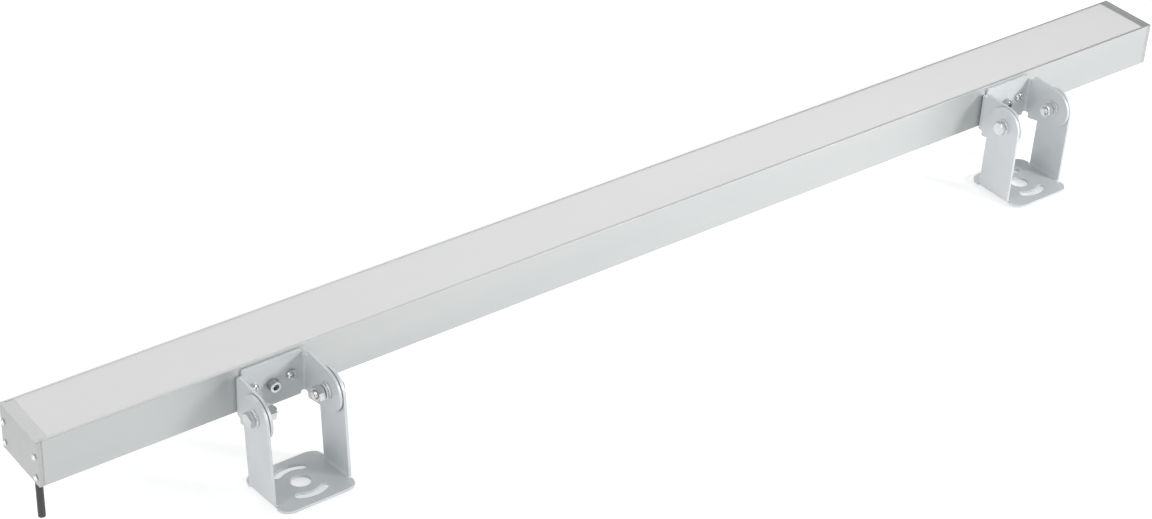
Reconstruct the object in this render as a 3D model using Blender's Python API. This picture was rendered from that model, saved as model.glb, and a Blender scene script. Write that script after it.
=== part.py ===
"""Linear led light fixture: an aluminium profile with an opal cover on two folded swivel brackets.

Metres, +Z up. The origin lies on the underside of the right foot bracket and X runs along the lamp.
The lamp's pieces are placed in the lamp's own frame: X from its middle, Y from its front face
backwards, Z up from its underside.
"""
import math

import bmesh
import bpy
from mathutils import Matrix, Vector
from mathutils.geometry import tessellate_polygon

# Overall sizes
LAMP_LENGTH = 1.000
LAMP_WIDTH = 0.050
LAMP_HEIGHT = 0.035

# Fits and cuts
SEAT = 0.0002
FIT = 0.0003
OVERRUN = 0.002
SAME_POINT = 0.000001
FLAT_ENOUGH = math.radians(0.05)

# Extruded profile
SIDE_WALL = 0.0018
FLOOR = 0.002
WEB = 0.0016
WEB_HEIGHT = 0.0244
RIM_WIDTH = 0.0019
EDGE_RADIUS = 0.0005
LEDGE_REACH = 0.0020
LEDGE_THICKNESS = 0.0015
PORT_INSET = 0.0038
PORT_LOW = 0.0057
PORT_HIGH = 0.0220
PORT_WALL = 0.0009
PORT_MOUTH_HALF_ANGLE = math.radians(25)

# Cover
COVER_THICKNESS = 0.0020
COVER_RIB_WIDTH = 0.0012
COVER_RIB_DEPTH = 0.0015

# End caps and their screws
CAP_PLATE = 0.0030
CAP_LAND = 0.0055
CAP_LAND_DROP = 0.0001
CAP_PLUG_ROOT = 0.0025
GASKET = 0.0003
GASKET_BORDER = 0.0072
GASKET_WINDOW_BOTTOM = 0.0036
GASKET_WINDOW_TOP = 0.0228
CAP_SCREW_RADIUS = 0.00125
CAP_SCREW_HEAD_RADIUS = 0.0021
CAP_SCREW_HEAD = 0.0012
CAP_SCREW_LENGTH = 0.014

# Folded brackets
SHEET = 0.0020
BRACKET_INSET = 0.1655
PIVOT_OUT = 0.0296
PIVOT_HEIGHT = 0.0160
PIVOT_TO_BASE = 0.0624
RIGHT_FOOT_LEAN = math.radians(0)
LEFT_FOOT_LEAN = math.radians(5.8)

# Yoke, the inner bracket
YOKE_HALF_WIDTH = 0.0267
YOKE_BEND = 0.0015
YOKE_PLATE_TOP = 0.0330
YOKE_PLATE_BOTTOM = -0.0030
YOKE_ROOT_OUT = 0.0060
YOKE_ROOT_TOP = 0.0325
YOKE_ROOT_BOTTOM = -0.0050
YOKE_EAR_RADIUS = 0.0156
YOKE_RELIEF_TOP = 0.0285
YOKE_RELIEF_BOTTOM = -0.0005
YOKE_RELIEF_INSET = 0.0012
YOKE_CORNER = 0.0010

# Foot bracket, the outer one
ARM_HALF_WIDTH = 0.0155
FOOT_BEND = 0.0020
FOOT_HALF_DEPTH = 0.0270
FLANGE_HALF_WIDTH = 0.0285
FLANGE_CORNER = 0.0080
FOOT_RELIEF_INSET = 0.0004
FOOT_RELIEF_WIDTH = 0.0015
FOOT_RELIEF_CORNER = 0.0005
FOOT_HOLE_RADIUS = 0.0070
SLOT_PATH_RADIUS = 0.0170
SLOT_WIDTH = 0.0060
SLOT_HALF_ANGLE = math.radians(35)
BASE_POINT_OFFSET = 0.0170

# Screws that hold a yoke to the housing
YOKE_SCREW_OFFSET = 0.0143
YOKE_SCREW_RADIUS = 0.0020
PAN_HEAD_RADIUS = 0.0040
PAN_HEAD = 0.0026
PAN_RECESS_RADIUS = 0.0021
PAN_RECESS_DEPTH = 0.0014
MIDDLE_SCREW_HEIGHT = 0.0140
MIDDLE_SCREW_RADIUS = 0.0025
SOCKET_HEAD_RADIUS = 0.00425
SOCKET_HEAD = 0.0050
SOCKET_FLAT = 0.0020
SOCKET_DEPTH = 0.0025
NUT_PLATE_THICKNESS = 0.0025
NUT_PLATE_HALF_LENGTH = 0.0200
NUT_PLATE_CORNER = 0.0015
SCREW_PROUD = 0.0010

# Pivot bolts, nuts and washers
BOLT_RADIUS = 0.0030
BOLT_FLAT = 0.0050
BOLT_HEAD = 0.0040
BOLT_PROUD = 0.0020
THREAD_CHAMFER = 0.0005
NUT_HEIGHT = 0.0050
WASHER = 0.0016
WASHER_RADIUS = 0.0060
FRICTION_WASHER = 0.0004
FRICTION_WASHER_RADIUS = 0.0070
SPRING_WASHER = 0.0014
SPRING_WASHER_RADIUS = 0.0055
SPRING_WASHER_RISE = 0.0004
SPRING_WASHER_TURN = math.radians(346)

# Led boards, driver and supply
BOARD_END_GAP = 0.0020
BOARD_HALF_WIDTH = 0.0170
BOARD_THICKNESS = 0.0016
CHIP_PITCH = 0.0200
CHIP_HALF = 0.0014
CHIP_HEIGHT = 0.0008
DRIVER_START = 0.0700
DRIVER_LENGTH = 0.1800
DRIVER_HALF_WIDTH = 0.0150
DRIVER_HEIGHT = 0.0180
DRIVER_CORNER = 0.0015
TERMINAL_START = 0.0400
TERMINAL_LENGTH = 0.0160
TERMINAL_HALF_WIDTH = 0.0110
TERMINAL_HEIGHT = 0.0150
TERMINAL_STEP = 0.0050

# Cable and its gland
CABLE_RADIUS = 0.00255
CABLE_FREE_LENGTH = 0.0339
CABLE_INSET = 0.0106
CORE_RADIUS = 0.0014
CORE_BEND = 0.0050
GLAND_FLAT = 0.0050
GLAND_FLANGE = 0.0020
GLAND_THREAD_RADIUS = 0.0040
GLAND_THREAD_ABOVE_FLOOR = 0.0045
GLAND_LOCK_NUT = 0.0025
GLAND_NUT_HEX = 0.0045
GLAND_NUT_DOME = 0.0030
GLAND_MOUTH_WALL = 0.0008
GLAND_CHAMFER = 0.0006

# Facets; a corner above the large one gets the steps of a round end
LARGE_CORNER = 0.0100
TUBE_STEPS = 3
HEX_SIDES = 18
PAN_SIDES = 16
SMALL_SIDES = 12
CORNER_STEPS = 3
ROUND_END_STEPS = 9
BEND_STEPS = 4
PORT_STEPS = 9
SPRING_STEPS = 16
CORE_STEPS = 5
CABLE_STEPS = 4

# Shares of a piece's own size
HEX_CORNER_CHAMFER_SHARE = 0.82
HEX_FACE_SHARE = 0.95
DOME_SHARES = ((1.0, 0.25), (0.93, 0.62), (0.74, 0.90), (0.58, 1.0))
RECESS_WAIST_SHARE = 0.42
RECESS_FLOOR_SHARE = 0.35
SOCKET_RIM_SHARE = 0.88
GLAND_DOME_SHARES = ((0.98, 0.0), (0.94, 0.45), (0.82, 0.80))

# Places worked out from the sizes above
CAP_STACK = CAP_PLATE + 2 * SEAT + GASKET
HALF_LENGTH = LAMP_LENGTH / 2
HALF_WIDTH = LAMP_WIDTH / 2
WALL_INSIDE = HALF_WIDTH - SIDE_WALL
RIM_INSIDE = HALF_WIDTH - RIM_WIDTH
LEDGE_INSIDE = WALL_INSIDE - LEDGE_REACH
LEDGE_TOP = LAMP_HEIGHT - COVER_THICKNESS - SEAT
WEB_TOP = WEB_HEIGHT + WEB
PORT_ACROSS = HALF_WIDTH - PORT_INSET
PORT_BORE = CAP_SCREW_RADIUS + FIT
PORT_RADIUS = PORT_BORE + PORT_WALL
NUT_PLATE_BOTTOM = PORT_LOW + PORT_RADIUS + FIT
NUT_PLATE_TOP = PORT_HIGH - PORT_RADIUS - FIT
BRACKET_X = HALF_LENGTH - BRACKET_INSET
PIVOT_HOLE = BOLT_RADIUS + FIT
YOKE_SCREW_HOLE = YOKE_SCREW_RADIUS + FIT
MIDDLE_SCREW_HOLE = MIDDLE_SCREW_RADIUS + FIT
EAR_INNER = YOKE_HALF_WIDTH - SHEET
ARM_INNER = YOKE_HALF_WIDTH + 2 * SEAT + FRICTION_WASHER
ARM_OUTER = ARM_INNER + SHEET
CABLE_BORE = CABLE_RADIUS + FIT
GLAND_DEPTH = 3 * SEAT + GLAND_FLANGE + GLAND_NUT_HEX + GLAND_NUT_DOME

# Directions that turn a piece's own +Z outwards
TO_RIGHT = (0, math.radians(90), 0)
TO_LEFT = (0, math.radians(-90), 0)
TO_FRONT = (math.radians(90), 0, 0)

# Maps from an outline's plane to the lamp's frame
ALONG_X = Matrix(((0, 0, 1, 0), (1, 0, 0, 0), (0, 1, 0, 0), (0, 0, 0, 1)))
ALONG_Y = Matrix(((1, 0, 0, 0), (0, 0, 1, 0), (0, 1, 0, 0), (0, 0, 0, 1)))


def clear_scene():
    for thing in list(bpy.data.objects):
        bpy.data.objects.remove(thing, do_unlink=True)


def material(name, colour, roughness, metallic):
    look = bpy.data.materials.new(name)
    look.use_nodes = True
    shader = look.node_tree.nodes["Principled BSDF"]
    shader.inputs["Base Color"].default_value = (*colour, 1)
    shader.inputs["Roughness"].default_value = roughness
    shader.inputs["Metallic"].default_value = metallic
    look.diffuse_color = (*colour, 1)
    return look


def arc(centre, radius, start, end, steps):
    """Points on a circle from the start angle to the end angle, both ends included."""
    points = []
    for step in range(steps + 1):
        angle = start + (end - start) * step / steps
        points.append((centre[0] + radius * math.cos(angle), centre[1] + radius * math.sin(angle)))
    return points


def circle(centre, radius, sides):
    return arc(centre, radius, 0, math.tau, sides)[:-1]


def rounded(corners):
    """An outline whose corners, each (x, y, radius), are rounded where the radius isn't zero."""
    points = []
    for index, (x, y, radius) in enumerate(corners):
        here = Vector((x, y))
        before = (Vector(corners[index - 1][:2]) - here).normalized()
        after = (Vector(corners[(index + 1) % len(corners)][:2]) - here).normalized()
        if radius == 0:
            points.append(here)
            continue
        half = before.angle(after) / 2
        centre = here + (before + after).normalized() * radius / math.sin(half)
        first = here + before * radius / math.tan(half) - centre
        last = here + after * radius / math.tan(half) - centre
        start = math.atan2(first.y, first.x)
        sweep = (math.atan2(last.y, last.x) - start + math.pi) % math.tau - math.pi
        steps = ROUND_END_STEPS if radius > LARGE_CORNER else CORNER_STEPS
        points += [Vector(point) for point in arc(centre, radius, start, start + sweep, steps)]
    kept = [p for p, q in zip(points, points[-1:] + points[:-1]) if (p - q).length > SAME_POINT]
    return [tuple(p) for p in kept]


def both_sides(half_corners):
    """Adds the mirror image in the first coordinate, so that the outline closes on itself."""
    return half_corners + [(-corner[0], *corner[1:]) for corner in reversed(half_corners)]


def merged_flats(body):
    """Joins the triangles of each flat face."""
    bmesh.ops.dissolve_limit(body, angle_limit=FLAT_ENOUGH, verts=body.verts, edges=body.edges)
    return body


def prism(loops, low, high, turn=None):
    """A straight solid between two heights; the first loop is its outline, the others are holes."""
    body = bmesh.new()
    flat = [point for loop in loops for point in loop]
    floor = [body.verts.new((*point, low)) for point in flat]
    roof = [body.verts.new((*point, high)) for point in flat]
    for triple in tessellate_polygon([[Vector((*point, 0)) for point in loop] for loop in loops]):
        body.faces.new([floor[index] for index in triple])
        body.faces.new([roof[index] for index in triple])
    first = 0
    for loop in loops:
        for index in range(len(loop)):
            a = first + index
            b = first + (index + 1) % len(loop)
            body.faces.new((floor[a], floor[b], roof[b], roof[a]))
        first += len(loop)
    if turn:
        body.transform(turn)
    bmesh.ops.recalc_face_normals(body, faces=body.faces)
    return merged_flats(body)


def box(low, high):
    outline = [(low[0], low[1]), (high[0], low[1]), (high[0], high[1]), (low[0], high[1])]
    return prism([outline], low[2], high[2])


def ring(radius, height, sides):
    return [(x, y, height) for x, y in circle((0, 0), radius, sides)]


def hex_ring(flat, height, sides):
    """A hexagon, by half its width across flats, with as many points as the round rings."""
    points = []
    for index in range(sides):
        angle = math.tau * index / sides
        off_flat = angle % (math.tau / 6) - math.tau / 12
        radius = flat / math.cos(off_flat)
        points.append((radius * math.cos(angle), radius * math.sin(angle), height))
    return points


def cross_ring(radius, height, sides):
    """The mouth of a cross recess: long on the four arms, narrow between them."""
    points = []
    for index in range(sides):
        reach = radius if index % (sides // 4) == 0 else radius * RECESS_WAIST_SHARE
        angle = math.tau * index / sides
        points.append((reach * math.cos(angle), reach * math.sin(angle), height))
    return points


def lofted(rings, closed=False):
    """A skin over rings of equal count: capped at both ends, or closed on itself like a tyre."""
    body = bmesh.new()
    rows = [[body.verts.new(point) for point in row] for row in rings]
    pairs = list(zip(rows, rows[1:]))
    if closed:
        pairs.append((rows[-1], rows[0]))
    for lower, upper in pairs:
        for index in range(len(lower)):
            after = (index + 1) % len(lower)
            body.faces.new((lower[index], lower[after], upper[after], upper[index]))
    if not closed:
        body.faces.new(rows[0])
        body.faces.new(rows[-1])
    bmesh.ops.recalc_face_normals(body, faces=body.faces)
    return body


def washer_body(radius, bore, thickness, sides=HEX_SIDES):
    return lofted([ring(bore, 0, sides), ring(radius, 0, sides), ring(radius, thickness, sides),
                   ring(bore, thickness, sides)], closed=True)


def to_mesh(body, name):
    mesh = bpy.data.meshes.new(name)
    body.to_mesh(mesh)
    body.free()
    return mesh


def gathered(bodies):
    """Several bodies that don't touch, as one."""
    result = bmesh.new()
    for body in bodies:
        mesh = to_mesh(body, "gathered")
        result.from_mesh(mesh)
        bpy.data.meshes.remove(mesh)
    return result


def combined(body, others, operation):
    """One body cut, joined or trimmed by the others, with Blender's exact Boolean."""
    base = bpy.data.objects.new("base", to_mesh(body, "base"))
    bpy.context.scene.collection.objects.link(base)
    helpers = []
    for other in others:
        helper = bpy.data.objects.new("helper", to_mesh(other, "helper"))
        bpy.context.scene.collection.objects.link(helper)
        change = base.modifiers.new("change", "BOOLEAN")
        change.operation = operation
        change.solver = "EXACT"
        change.object = helper
        helpers.append(helper)
    result = bmesh.new()
    result.from_object(base, bpy.context.evaluated_depsgraph_get())
    for thing in [base] + helpers:
        bpy.data.objects.remove(thing, do_unlink=True)
    return merged_flats(result)


def cylinder_between(start, end, radius, sides):
    """A round cutter whose axis runs from start to end."""
    axis = Vector(end) - Vector(start)
    body = lofted([ring(radius, 0, sides), ring(radius, axis.length, sides)])
    body.transform(Matrix.Translation(start) @ axis.to_track_quat("Z", "Y").to_matrix().to_4x4())
    return body


def place(name, mesh, look, parent, location=(0, 0, 0), turn=(0, 0, 0)):
    """One named sub-part, shaded smooth up to its sharp edges."""
    if not mesh.materials:
        mesh.materials.append(look)
        mesh.shade_smooth()
        mesh.set_sharp_from_angle(angle=math.radians(30))
    piece = bpy.data.objects.new(name, mesh)
    bpy.context.scene.collection.objects.link(piece)
    piece.location = location
    piece.rotation_euler = turn
    piece.parent = parent
    return piece


def axis_empty(name, parent, location, lean=0):
    empty = bpy.data.objects.new(name, None)
    bpy.context.scene.collection.objects.link(empty)
    empty.location = location
    empty.rotation_euler = (-lean, 0, 0)
    empty.parent = parent
    return empty


def yoke_screw_holes():
    """Centre and radius of each hole for a yoke's screws, from the middle of the bracket."""
    outer = [((offset, PIVOT_HEIGHT), YOKE_SCREW_HOLE) for offset in (-YOKE_SCREW_OFFSET, YOKE_SCREW_OFFSET)]
    return outer + [((0, MIDDLE_SCREW_HEIGHT), MIDDLE_SCREW_HOLE)]


# The extruded profile

def port_outline(height, last_angle):
    """A screw port, open towards the middle of the profile, from the wall round to the last angle."""
    centre = (PORT_ACROSS, height)
    at_wall = math.acos((WALL_INSIDE - PORT_ACROSS) / PORT_RADIUS)
    mouth = math.pi - PORT_MOUTH_HALF_ANGLE
    below = arc(centre, PORT_RADIUS, -at_wall, -mouth, CORNER_STEPS)
    bore = arc(centre, PORT_BORE, -mouth, mouth, PORT_STEPS)
    above = arc(centre, PORT_RADIUS, mouth, last_angle(at_wall), CORNER_STEPS)
    return below + bore + above


def profile_outer_loop():
    half = [(HALF_WIDTH, 0, EDGE_RADIUS), (HALF_WIDTH, LAMP_HEIGHT, EDGE_RADIUS),
            (RIM_INSIDE, LAMP_HEIGHT, 0), (RIM_INSIDE, LEDGE_TOP, 0), (LEDGE_INSIDE, LEDGE_TOP, 0),
            (LEDGE_INSIDE, LEDGE_TOP - LEDGE_THICKNESS, 0),
            (WALL_INSIDE, LEDGE_TOP - LEDGE_THICKNESS, 0), (WALL_INSIDE, WEB_TOP, 0)]
    return rounded(both_sides(half))


def profile_chamber_loop():
    web_angle = math.pi - math.asin((WEB_HEIGHT - PORT_HIGH) / PORT_RADIUS)
    half = [(WALL_INSIDE, FLOOR)]
    half += port_outline(PORT_LOW, lambda at_wall: at_wall)
    half += port_outline(PORT_HIGH, lambda at_wall: web_angle)
    return both_sides(half)


def housing_mesh():
    start = CAP_STACK - HALF_LENGTH
    body = prism([profile_outer_loop(), profile_chamber_loop()], start, -start, ALONG_X)
    body.transform(Matrix.Translation((0, HALF_WIDTH, 0)))
    cutters = []
    for middle in (-BRACKET_X, BRACKET_X):
        for (offset, height), radius in yoke_screw_holes():
            x = middle + offset
            cutters.append(cylinder_between((x, -OVERRUN, height), (x, SIDE_WALL + OVERRUN, height),
                                            radius, SMALL_SIDES))
    x = CABLE_INSET - HALF_LENGTH
    cutters.append(cylinder_between((x, HALF_WIDTH, -OVERRUN), (x, HALF_WIDTH, FLOOR + OVERRUN),
                                    GLAND_THREAD_RADIUS + FIT, HEX_SIDES))
    return to_mesh(combined(body, [gathered(cutters)], "DIFFERENCE"), "housing")


def cover_mesh():
    """The opal cover: a flat strip between the rims, with a locating rib inside each ledge."""
    edge = RIM_INSIDE - FIT
    bottom = LEDGE_TOP + SEAT
    rib = LEDGE_INSIDE - FIT
    half = [(rib - COVER_RIB_WIDTH, bottom), (rib - COVER_RIB_WIDTH, bottom - COVER_RIB_DEPTH),
            (rib, bottom - COVER_RIB_DEPTH), (rib, bottom), (edge, bottom), (edge, LAMP_HEIGHT)]
    start = CAP_PLATE + CAP_LAND + FIT - HALF_LENGTH
    body = prism([both_sides(half)], start, -start, ALONG_X)
    body.transform(Matrix.Translation((0, HALF_WIDTH, 0)))
    return to_mesh(body, "diffuser")


# End caps and gaskets, drawn with their outer face at zero and the lamp towards +X

def port_centres():
    return [(across, height) for across in (-PORT_ACROSS, PORT_ACROSS) for height in (PORT_LOW, PORT_HIGH)]


def port_holes():
    return [circle(centre, PORT_BORE, SMALL_SIDES) for centre in port_centres()]


def end_cap_mesh():
    """A flat plate with a plug that fills the channel's end and lies flush between the rims."""
    outline = rounded(both_sides([(HALF_WIDTH, 0, EDGE_RADIUS), (HALF_WIDTH, LAMP_HEIGHT, EDGE_RADIUS)]))
    plate = prism([outline] + port_holes(), 0, CAP_PLATE, ALONG_X)
    end = CAP_PLATE + CAP_LAND
    low = LEDGE_TOP + SEAT
    top = LAMP_HEIGHT - CAP_LAND_DROP
    block = LEDGE_INSIDE - FIT
    land = RIM_INSIDE - FIT
    plug = [box((CAP_PLUG_ROOT, -block, WEB_TOP + FIT), (end - CAP_LAND_DROP, block, (low + top) / 2)),
            box((CAP_PLUG_ROOT, -land, low), (end, land, top))]
    body = combined(plate, plug, "UNION")
    body.transform(Matrix.Translation((0, HALF_WIDTH, 0)))
    return to_mesh(body, "end_cap")


def gasket_mesh():
    inside = HALF_WIDTH - GASKET_BORDER
    window = both_sides([(inside, GASKET_WINDOW_BOTTOM), (inside, GASKET_WINDOW_TOP)])
    body = prism([profile_outer_loop(), window] + port_holes(), 0, GASKET, ALONG_X)
    body.transform(Matrix.Translation((0, HALF_WIDTH, 0)))
    return to_mesh(body, "end_gasket")


# Folded sheet brackets

def bend_allowance(inner_radius):
    return (inner_radius + SHEET / 2) * math.pi / 2


def unfolded(height, half_width, inner_radius):
    """Where a point of a leg, at a height above the web's outer face, lies on the flat blank."""
    bend_start = half_width - SHEET - inner_radius
    return bend_start + bend_allowance(inner_radius) + height - SHEET - inner_radius


def folded(loops, half_width, inner_radius, flat_beyond):
    """Folds both legs of a flat blank up by a quarter turn; what lies past flat_beyond stays flat."""
    body = prism(loops, 0, SHEET)
    bend_start = half_width - SHEET - inner_radius
    allowance = bend_allowance(inner_radius)
    for side in (-1, 1):
        for step in range(BEND_STEPS + 1):
            across = side * (bend_start + allowance * step / BEND_STEPS)
            bmesh.ops.bisect_plane(body, geom=body.verts[:] + body.edges[:] + body.faces[:],
                                   plane_co=(across, 0, 0), plane_no=(1, 0, 0), dist=SAME_POINT)
    for vertex in body.verts:
        x, y, z = vertex.co
        run = abs(x) - bend_start
        if run <= 0 or abs(y) > flat_beyond:
            continue
        turn = min(run, allowance) / allowance * math.pi / 2
        radius = inner_radius + SHEET - z
        leg = max(run - allowance, 0)
        across = bend_start + radius * math.sin(turn)
        height = SHEET + inner_radius - radius * math.cos(turn) + leg
        vertex.co = (math.copysign(across, x), y, height)
    bmesh.ops.recalc_face_normals(body, faces=body.faces)
    return merged_flats(body)


def ear_end(blank_x):
    """The ear's outline from its lower root corner, round the pivot, to its upper root corner."""
    centre = Vector((blank_x(PIVOT_OUT), PIVOT_HEIGHT))
    angles = []
    for height, side in ((YOKE_ROOT_BOTTOM, 1), (YOKE_ROOT_TOP, -1)):
        root = Vector((blank_x(YOKE_ROOT_OUT), height)) - centre
        spread = math.acos(YOKE_EAR_RADIUS / root.length)
        angles.append(math.atan2(root.y, root.x) + side * spread)
    first, last = (angle % math.tau for angle in angles)
    return arc(centre, YOKE_EAR_RADIUS, first - math.tau, last, 2 * ROUND_END_STEPS)


def yoke_mesh():
    """The inner bracket: a plate on the housing's side and two ears, with reliefs at the bends."""
    def blank_x(out):
        return unfolded(out - SEAT, YOKE_HALF_WIDTH, YOKE_BEND)

    relief = YOKE_HALF_WIDTH - SHEET - YOKE_BEND - YOKE_RELIEF_INSET
    root = blank_x(YOKE_ROOT_OUT)
    half = [(relief, YOKE_PLATE_BOTTOM, YOKE_CORNER), (relief, YOKE_RELIEF_BOTTOM, YOKE_CORNER),
            (root, YOKE_RELIEF_BOTTOM, YOKE_CORNER), (root, YOKE_ROOT_BOTTOM, YOKE_CORNER)]
    half += [(x, y, 0) for x, y in ear_end(blank_x)]
    half += [(root, YOKE_ROOT_TOP, YOKE_CORNER), (root, YOKE_RELIEF_TOP, YOKE_CORNER),
             (relief, YOKE_RELIEF_TOP, 0), (relief, YOKE_PLATE_TOP, YOKE_CORNER)]
    loops = [rounded(both_sides(half))]
    loops += [circle(centre, radius, SMALL_SIDES) for centre, radius in yoke_screw_holes()]
    for side in (-1, 1):
        loops.append(circle((side * blank_x(PIVOT_OUT), PIVOT_HEIGHT), PIVOT_HOLE, HEX_SIDES))
    body = folded(loops, YOKE_HALF_WIDTH, YOKE_BEND, LAMP_LENGTH)
    body.transform(Matrix.Rotation(math.radians(90), 4, "X"))
    body.transform(Matrix.Translation((0, -SEAT, 0)))
    return to_mesh(body, "yoke")


def arc_slot(side):
    """A curved slot round the foot's centre hole, in front of it or behind it."""
    middle = side * math.pi / 2
    first = middle - SLOT_HALF_ANGLE
    last = middle + SLOT_HALF_ANGLE
    half = SLOT_WIDTH / 2
    points = arc((0, 0), SLOT_PATH_RADIUS + half, first, last, ROUND_END_STEPS)
    end = (SLOT_PATH_RADIUS * math.cos(last), SLOT_PATH_RADIUS * math.sin(last))
    points += arc(end, half, last, last + math.pi, ROUND_END_STEPS // 2)[1:-1]
    points += arc((0, 0), SLOT_PATH_RADIUS - half, last, first, ROUND_END_STEPS)
    end = (SLOT_PATH_RADIUS * math.cos(first), SLOT_PATH_RADIUS * math.sin(first))
    points += arc(end, half, first + math.pi, first + math.tau, ROUND_END_STEPS // 2)[1:-1]
    return points


def foot_bracket_mesh():
    """The outer bracket, drawn round its pivot axis: two arms and a slotted foot with round corners."""
    relief = ARM_OUTER - SHEET - FOOT_BEND - FOOT_RELIEF_INSET
    flange_start = ARM_HALF_WIDTH + FOOT_RELIEF_WIDTH
    arm_end = unfolded(PIVOT_TO_BASE + ARM_HALF_WIDTH, ARM_OUTER, FOOT_BEND)
    lower = [(FLANGE_HALF_WIDTH, -FOOT_HALF_DEPTH, FLANGE_CORNER),
             (FLANGE_HALF_WIDTH, -flange_start, FOOT_RELIEF_CORNER),
             (relief, -flange_start, FOOT_RELIEF_CORNER), (relief, -ARM_HALF_WIDTH, FOOT_RELIEF_CORNER),
             (arm_end, -ARM_HALF_WIDTH, ARM_HALF_WIDTH)]
    half = lower + [(x, -y, radius) for x, y, radius in reversed(lower)]
    loops = [rounded(both_sides(half)), circle((0, 0), FOOT_HOLE_RADIUS, HEX_SIDES),
             arc_slot(-1), arc_slot(1)]
    pivot = unfolded(PIVOT_TO_BASE, ARM_OUTER, FOOT_BEND)
    loops += [circle((side * pivot, 0), PIVOT_HOLE, HEX_SIDES) for side in (-1, 1)]
    body = folded(loops, ARM_OUTER, FOOT_BEND, ARM_HALF_WIDTH + SAME_POINT)
    body.transform(Matrix.Translation((0, 0, -PIVOT_TO_BASE)))
    return to_mesh(body, "foot_bracket")


# Fasteners, each drawn with its bearing face at zero and its head towards +Z

def dome_rings(radius, height, sides):
    return [ring(radius * out, height * up, sides) for out, up in DOME_SHARES]


def shank_rings(radius, length, sides):
    tip = radius - THREAD_CHAMFER
    return [ring(tip, -length, sides), ring(radius, THREAD_CHAMFER - length, sides), ring(radius, 0, sides)]


def cap_screw_mesh():
    rings = shank_rings(CAP_SCREW_RADIUS, CAP_SCREW_LENGTH, SMALL_SIDES)
    rings += [ring(CAP_SCREW_HEAD_RADIUS, 0, SMALL_SIDES)]
    rings += dome_rings(CAP_SCREW_HEAD_RADIUS, CAP_SCREW_HEAD, SMALL_SIDES)
    return to_mesh(lofted(rings), "cap_screw")


def yoke_screw_length():
    return SHEET + SIDE_WALL + NUT_PLATE_THICKNESS + 3 * SEAT + SCREW_PROUD


def pan_screw_mesh():
    rings = shank_rings(YOKE_SCREW_RADIUS, yoke_screw_length(), PAN_SIDES)
    rings += [ring(PAN_HEAD_RADIUS, 0, PAN_SIDES)]
    rings += dome_rings(PAN_HEAD_RADIUS, PAN_HEAD, PAN_SIDES)
    rings += [cross_ring(PAN_RECESS_RADIUS, PAN_HEAD, PAN_SIDES)]
    rings += [cross_ring(PAN_RECESS_RADIUS * RECESS_FLOOR_SHARE, PAN_HEAD - PAN_RECESS_DEPTH, PAN_SIDES)]
    return to_mesh(lofted(rings), "pan_screw")


def socket_screw_mesh():
    top = SOCKET_HEAD
    rings = shank_rings(MIDDLE_SCREW_RADIUS, yoke_screw_length(), HEX_SIDES)
    rings += [ring(SOCKET_HEAD_RADIUS, 0, HEX_SIDES),
              ring(SOCKET_HEAD_RADIUS, top - THREAD_CHAMFER, HEX_SIDES),
              ring(SOCKET_HEAD_RADIUS * SOCKET_RIM_SHARE, top, HEX_SIDES),
              hex_ring(SOCKET_FLAT, top, HEX_SIDES),
              hex_ring(SOCKET_FLAT, top - SOCKET_DEPTH, HEX_SIDES)]
    return to_mesh(lofted(rings), "socket_screw")


def pivot_nut_end():
    """How far the nut's inner face lies inside the ear's outer face."""
    spring = SPRING_WASHER + SPRING_WASHER_RISE
    return SHEET + WASHER + spring + NUT_HEIGHT + 3 * SEAT


def pivot_bolt_mesh():
    above_ear = 4 * SEAT + FRICTION_WASHER + SHEET + WASHER
    length = above_ear + pivot_nut_end() + BOLT_PROUD
    rings = shank_rings(BOLT_RADIUS, length, HEX_SIDES)
    rings += [hex_ring(BOLT_FLAT, 0, HEX_SIDES),
              hex_ring(BOLT_FLAT, BOLT_HEAD * HEX_CORNER_CHAMFER_SHARE, HEX_SIDES),
              ring(BOLT_FLAT * HEX_FACE_SHARE, BOLT_HEAD, HEX_SIDES)]
    return to_mesh(lofted(rings), "pivot_bolt")


def hex_nut(flat, bore, height):
    chamfer = height * (1 - HEX_CORNER_CHAMFER_SHARE)
    face = flat * HEX_FACE_SHARE
    return lofted([ring(bore, 0, HEX_SIDES), ring(face, 0, HEX_SIDES), hex_ring(flat, chamfer, HEX_SIDES),
                   hex_ring(flat, height - chamfer, HEX_SIDES), ring(face, height, HEX_SIDES),
                   ring(bore, height, HEX_SIDES)], closed=True)


def spring_washer_mesh():
    """A split ring whose ends stand apart by a small rise."""
    rows = []
    for step in range(SPRING_STEPS + 1):
        share = step / SPRING_STEPS
        angle = SPRING_WASHER_TURN * share
        rise = SPRING_WASHER_RISE * share
        row = []
        for radius, height in ((PIVOT_HOLE, 0), (SPRING_WASHER_RADIUS, 0),
                               (SPRING_WASHER_RADIUS, SPRING_WASHER), (PIVOT_HOLE, SPRING_WASHER)):
            row.append((radius * math.cos(angle), radius * math.sin(angle), height + rise))
        rows.append(row)
    return to_mesh(lofted(rows), "spring_washer")


def nut_plate_mesh():
    """The threaded strip behind the housing's front wall, between its screw ports."""
    corners = [(NUT_PLATE_HALF_LENGTH, NUT_PLATE_BOTTOM, NUT_PLATE_CORNER),
               (NUT_PLATE_HALF_LENGTH, NUT_PLATE_TOP, NUT_PLATE_CORNER)]
    loops = [rounded(both_sides(corners))]
    loops += [circle(centre, radius, SMALL_SIDES) for centre, radius in yoke_screw_holes()]
    return to_mesh(prism(loops, 0, NUT_PLATE_THICKNESS, ALONG_Y), "nut_plate")


# Inner pieces

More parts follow.
